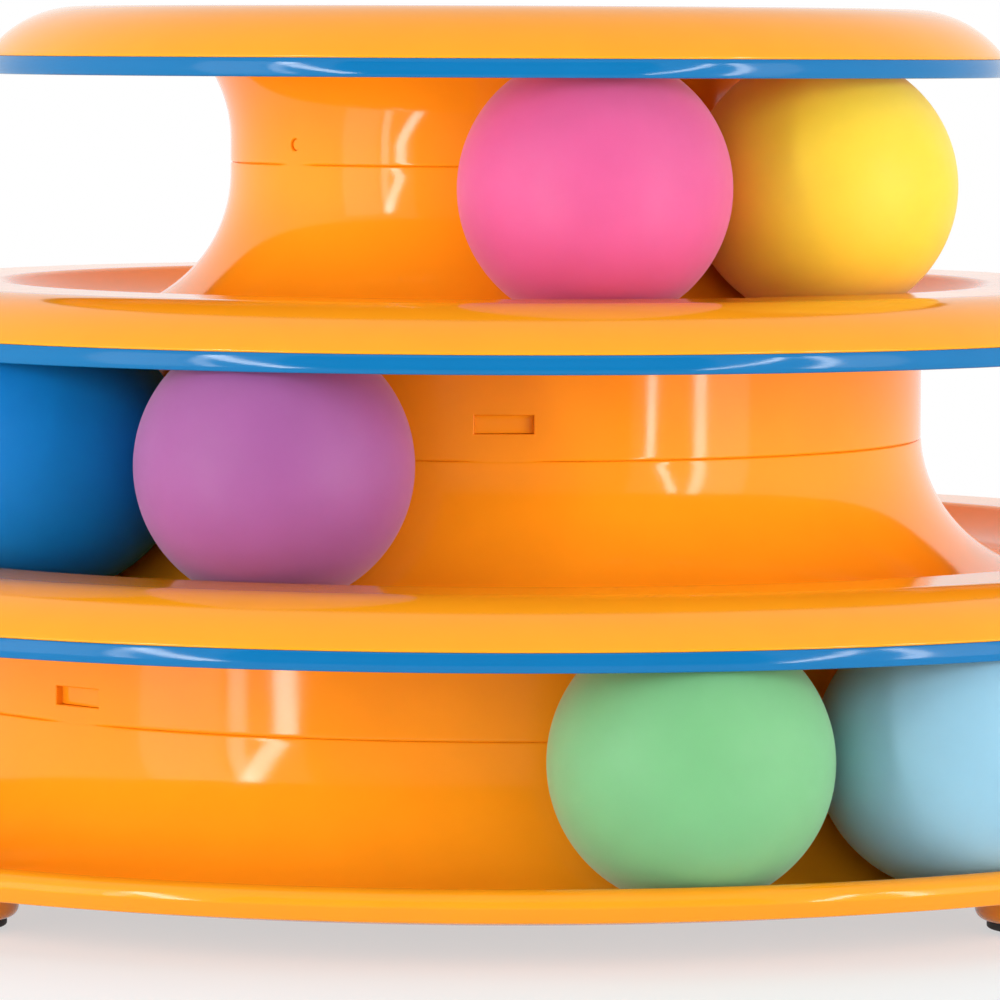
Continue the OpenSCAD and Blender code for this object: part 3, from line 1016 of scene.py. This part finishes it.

# %% [markdown]
# A finished piece takes the place of the imported model's part of the same name. This helper joins what the
# piece is made of, lets it ride on its body, and prints how far its box lies from the part's own.

# %% Dressing a part
def dress(name, body, slot, *parts):
    """Joins the parts into one piece that stands for the node of this name."""
    piece = parts[0]
    if len(parts) > 1:
        shape = bmesh.new()
        for part in parts:
            shape.from_mesh(part.data)
        shape.to_mesh(piece.data)
        shape.free()
        for part in parts[1:]:
            bpy.data.objects.remove(part)
    settle(piece)
    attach(piece, body)
    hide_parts(name)
    low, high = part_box(name)
    points = [v.co for v in piece.data.vertices]
    off = [abs(min(p[i] for p in points) - low[i]) for i in range(3)]
    off += [abs(max(p[i] for p in points) - high[i]) for i in range(3)]
    print(f"{name}: box off by {max(off) / MM:.2f} mm")


# %% [markdown]
# The decks are two sizes of one moulding. Each is turned with its collar in one go, then its windows are cut
# and its seams fade. The hooks or catches that stand on its own spigot join it last.

# %% Upper and lower deck
def deck(name, storey, *fittings):
    """A deck with its collar, its windows and whatever stands on its spigot."""
    outline = windowed(deck_outline(storey), storey + 1)
    shell = turned(name + "_shell", outline, ORANGE, start=WINDOW_AT[storey + 1] - 90)
    settle(shell, cut_windows(storey + 1), seam_fade(storey), seam_fade(storey + 1))
    shell.name = name + "_skin"
    dress(name, "tower", "orange_shell", shell, *fittings)


deck("upper_deck", TOP, catches())
deck("lower_deck", MID, hooks(MID))

# %% [markdown]
# A foot is turned too. Its top isn't flat: it ends inside the trough's wall, so the top rows are lifted onto
# the round of that wall. The foot is then moved out under the trough and repeated four times.

# %% Base tray with its feet
FOOT_TOP, FOOT_LIFT = 8.0, 0.5
FOOT_ROWS = (9.5, 8, 6, 4, 2, 0)
recess_soft = 0.2


def feet():
    """Four feet, each with a rounded lower edge and the recess that a pad's stem fills."""
    outline = [(0, pad_h + stem_h, 0), (stem_d / 2, pad_h + stem_h, 0), (stem_d / 2, pad_h, recess_soft)]
    outline += arc((foot_d / 2 - foot_edge_r, pad_h + foot_edge_r), foot_edge_r, 270, 360)
    outline += [(foot_d / 2, FOOT_TOP, 0)] + [(r, FOOT_TOP, 0) for r in FOOT_ROWS]
    foot = turned("foot", outline, ORANGE, closed=False, columns=64)
    shape = bmesh.new()
    shape.from_mesh(foot.data)
    bpy.data.objects.remove(foot)
    bmesh.ops.scale(shape, vec=(1 / MM, 1 / MM, 1 / MM), verts=shape.verts)
    bmesh.ops.translate(shape, vec=(track(LOW), 0, 0), verts=shape.verts)
    for vert in shape.verts:
        if vert.co.z > FOOT_TOP - FOOT_LIFT:
            across = Vector(vert.co[:2]).length - track(LOW)
            vert.co.z = trough_z(LOW) - math.sqrt((trough_r + wall / 2) ** 2 - across ** 2)
    return repeated("feet", shape, math.radians(45), ORANGE)


tray_shell = turned("tray_shell", tray_outline(), ORANGE, start=WINDOW_AT[LOW] - 90)
settle(tray_shell, seam_fade(LOW))
dress("base_tray", "tower", "orange_shell", tray_shell, feet(), hooks(LOW))

# %% [markdown]
# The cap's collar flares out like a trumpet. Four catch holes are cut in it: each is a plain hole whose outer
# edge is eased, which is why it looks like a small dimple.

# %% Cap collar
HOLE_EASE, CUT_OVER = 0.15, 1
HOLE_ROWS = (-2.4, -1.6, 1.6, 2.4)


def flare_reach():
    return flare_h / math.sin(math.radians(flare_angle))


def flare_turn(down):
    """Turn of the flare's hidden side at a height below the cap's underside."""
    return math.degrees(math.asin((flare_h - down) / (flare_reach() + wall)))


def collar_outline():
    centre = (neck(TOP) + flare_r, cap_under_z - flare_h)
    return ([(neck(TOP) - wall, seam_z(TOP), EDGE_SOFT), (neck(TOP), seam_z(TOP), SEAM_SOFT)]
            + oval_arc(centre, flare_r, flare_reach(), 180, 180 - flare_angle)
            + oval_arc(centre, flare_r + wall, flare_reach() + wall, 180 - flare_turn(0), 180))


def pierced(piece, radius, eased, z):
    """Cuts four round holes with eased outer edges through a collar."""
    steps = [(neck(TOP) - wall - CUT_OVER, radius), (neck(TOP) - eased, radius),
             (neck(TOP) + CUT_OVER, radius + eased + CUT_OVER)]
    cutters = repeated("catch_cutters", round_bar(steps, z), math.radians(CATCH_AT - 90), ORANGE)
    cut = piece.modifiers.new("holes", "BOOLEAN")
    cut.operation, cut.object, cut.solver = "DIFFERENCE", cutters, "EXACT"
    result = bpy.data.meshes.new_from_object(piece.evaluated_get(bpy.context.evaluated_depsgraph_get()))
    piece.modifiers.remove(cut)
    piece.data = result
    bpy.data.objects.remove(cutters)


collar_rows = [seam_z(TOP) + catch_up + off for off in HOLE_ROWS]
collar_shell = turned("collar_shell", with_rows(collar_outline(), neck(TOP), *collar_rows), ORANGE)
settle(collar_shell, seam_fade(TOP))
pierced(collar_shell, catch_d / 2, HOLE_EASE, seam_z(TOP) + catch_up)
dress("cap_collar", "tower", "orange_shell", collar_shell)

# %% [markdown]
# The cap is a closed disc, flat on top, with the same rounded shoulder as the decks. A rib below centres it
# on the collar.

# %% Cap top
FLAT_ROWS = (0, 20, 40)


def cap_outline():
    """A flat closed disc with a rounded shoulder and a centring rib below."""
    rib_out = neck(TOP) + flare_r - (flare_r + wall) * math.cos(math.radians(flare_turn(rib_h))) - fit_gap
    return ([(r, cap_top_z, 0) for r in FLAT_ROWS] + shoulder(rim(TOP), cap_top_z, cap_drop)
            + [(rib_out, cap_under_z, 0), (rib_out, cap_under_z - rib_h, EDGE_SOFT),
               (rib_out - wall, cap_under_z - rib_h, EDGE_SOFT), (rib_out - wall, cap_under_z, 0),
               (FLAT_ROWS[1], cap_under_z, 0), (0, cap_under_z, 0)])


dress("cap_top", "tower", "orange_shell", turned("cap_shell", cap_outline(), ORANGE, closed=False))

# %% [markdown]
# The three trim rings are one section at three sizes: a band that bulges a little, with a softened lower
# edge, and a tongue that slips up behind the lip above it. The bulge gathers the lamps into the short glints
# that the photograph's bands carry.

# %% Trim rings
RING_BULGE, BULGE_STEPS = 0.3, 6
ring_soft, back_soft = 0.3, 0.15


def trim_ring(name, rim_r, rim_z):
    """A ring under the rim of this radius, at this height."""
    low_z = rim_z - ring_h
    steps = [i / BULGE_STEPS for i in range(-BULGE_STEPS, BULGE_STEPS + 1)]
    face = [(rim_r - RING_BULGE * step * step, rim_z - ring_h * (0.5 - step / 2), 0) for step in steps]
    face[0] = (*face[0][:2], ring_soft)
    outline = [(rim_r - ring_t, low_z, back_soft)] + face
    outline += [(rim_r - lap_w - fit_gap, rim_z, 0), (rim_r - lap_w - fit_gap, rim_z + lap_h - fit_gap, 0),
                (rim_r - ring_t, rim_z + lap_h - fit_gap, 0)]
    dress(name, "tower", "blue_trim", turned(name + "_band", outline, BLUE, columns=360))


trim_ring("cap_trim_ring", rim(TOP), cap_top_z - cap_drop)
trim_ring("upper_trim_ring", rim(MID), lip_z(TOP) - deck_drop)
trim_ring("lower_trim_ring", rim(LOW), lip_z(MID) - deck_drop)

# %% [markdown]
# The pads are black rubber. Round grooves in the tread grip a smooth floor.

# %% Foot pads
GROOVES = (2.4, 4.4, 6.4)
groove_w, groove_deep, groove_lean, groove_soft = 0.9, 0.4, 0.15, 0.1
tread_soft, pad_soft, stem_soft = 0.35, 0.15, 0.2


def foot_pad(place, turn):
    """A pad under the foot at this angle, its stem in the foot's recess."""
    outline = [(0, 0, 0)]
    for r in GROOVES:
        corners = ((r, 0), (r + groove_lean, groove_deep), (r + groove_w - groove_lean, groove_deep),
                   (r + groove_w, 0))
        outline += [(*corner, groove_soft) for corner in corners]
    stem_r, stem_top = stem_d / 2 - fit_gap, pad_h + stem_h - fit_gap
    outline += [(pad_d / 2, 0, tread_soft), (pad_d / 2, pad_h, pad_soft), (stem_r, pad_h, 0),
                (stem_r, stem_top, stem_soft), (0, stem_top, 0)]
    pad = turned("pad_" + place, outline, RUBBER, closed=False, columns=96)
    out = Matrix.Translation((track(LOW) * MM, 0, 0))
    pad.data.transform(Matrix.Rotation(math.radians(turn), 4, "Z") @ out)
    dress("foot_pad_" + place, "tower", "pad_rubber", pad)


for place, turn in (("front_left", 225), ("front_right", 315), ("rear_left", 135), ("rear_right", 45)):
    foot_pad(place, turn)

# %% [markdown]
# A ball is hollow and matt. Its skin comes from a cube whose faces are divided and pushed out to a sphere, so
# that its quads are nearly even and have no poles. A third tree does that twice, for the outside and for the
# hollow. The tangent spreads the cube's points so that the quads near its corners don't shrink.

# %% The ball tree
BALL_CELLS = 41


def build_ball_tree():
    """A hollow ball round a centre."""
    tree, entry = new_tree("hollow_ball", ("Centre", "Vector"), ("Radius", "Float", ball_r * MM),
                           ("Wall", "Float", ball_wall * MM), ("Cells", "Int", BALL_CELLS))
    both = node(tree, "GeometryNodeJoinGeometry")
    for radius in (entry["Radius"], maths(tree, "SUBTRACT", entry["Radius"], entry["Wall"])):
        cells = {"Vertices " + axis: entry["Cells"] for axis in "XYZ"}
        cube = node(tree, "GeometryNodeMeshCube", {"Size": (2, 2, 2)} | cells)
        place = node(tree, "GeometryNodeInputPosition").outputs[0]
        split = node(tree, "ShaderNodeSeparateXYZ", {0: place}).outputs
        spaced = {axis: maths(tree, "TANGENT", maths(tree, "MULTIPLY", split[axis], math.pi / 4))
                  for axis in "XYZ"}
        point = node(tree, "ShaderNodeCombineXYZ", spaced).outputs[0]
        for operation, more in ("NORMALIZE", {}), ("SCALE", {"Scale": radius}), ("ADD", {1: entry["Centre"]}):
            point = node(tree, "ShaderNodeVectorMath", {0: point} | more, operation=operation).outputs[0]
        move = node(tree, "GeometryNodeSetPosition", {"Geometry": cube.outputs["Mesh"], "Position": point})
        feed(tree, both, {0: move.outputs[0]})
    close_tree(tree, both.outputs[0], entry["Finish"])
    return tree


BALL_TREE = build_ball_tree()
print("ball tree:", len(BALL_TREE.nodes), "nodes")

# %% [markdown]
# Six balls in six soft colours, two for each trough. Each rides on its own body, because it rolls round the
# tower by itself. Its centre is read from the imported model, so it stands where the model puts it. The dark
# blue one mirrors less than the others, because the photograph shows it deep and even.

# %% Balls
def ball(name, body, finish):
    """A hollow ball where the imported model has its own."""
    low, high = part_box(name)
    centre = (Vector(low) + Vector(high)) / 2
    skin = run_tree(BALL_TREE, bpy.data.meshes.new(name), name + "_skin", Centre=centre, Finish=finish)
    dress(name, body, name, skin)


BALL_COLOURS = {
    "pink": (0.68, 0.090, 0.27), "yellow": (0.92, 0.59, 0.034), "purple": (0.32, 0.087, 0.285),
    "dark_blue": (0.002, 0.145, 0.42), "green": (0.172, 0.465, 0.200), "light_blue": (0.27, 0.51, 0.66),
}
DEEP = "dark_blue"
for word, colour in BALL_COLOURS.items():
    ior, haze = (1.2, 0.03) if word == DEEP else (1.4, 0.25)
    matt = plastic(word + "_matt", colour, 0.55, ior, wave=(14, 0.03), mottle=0.03, grain=(0.6, 0.006),
                   glow=0.4, haze=haze)
    ball(word + "_ball", word, matt)
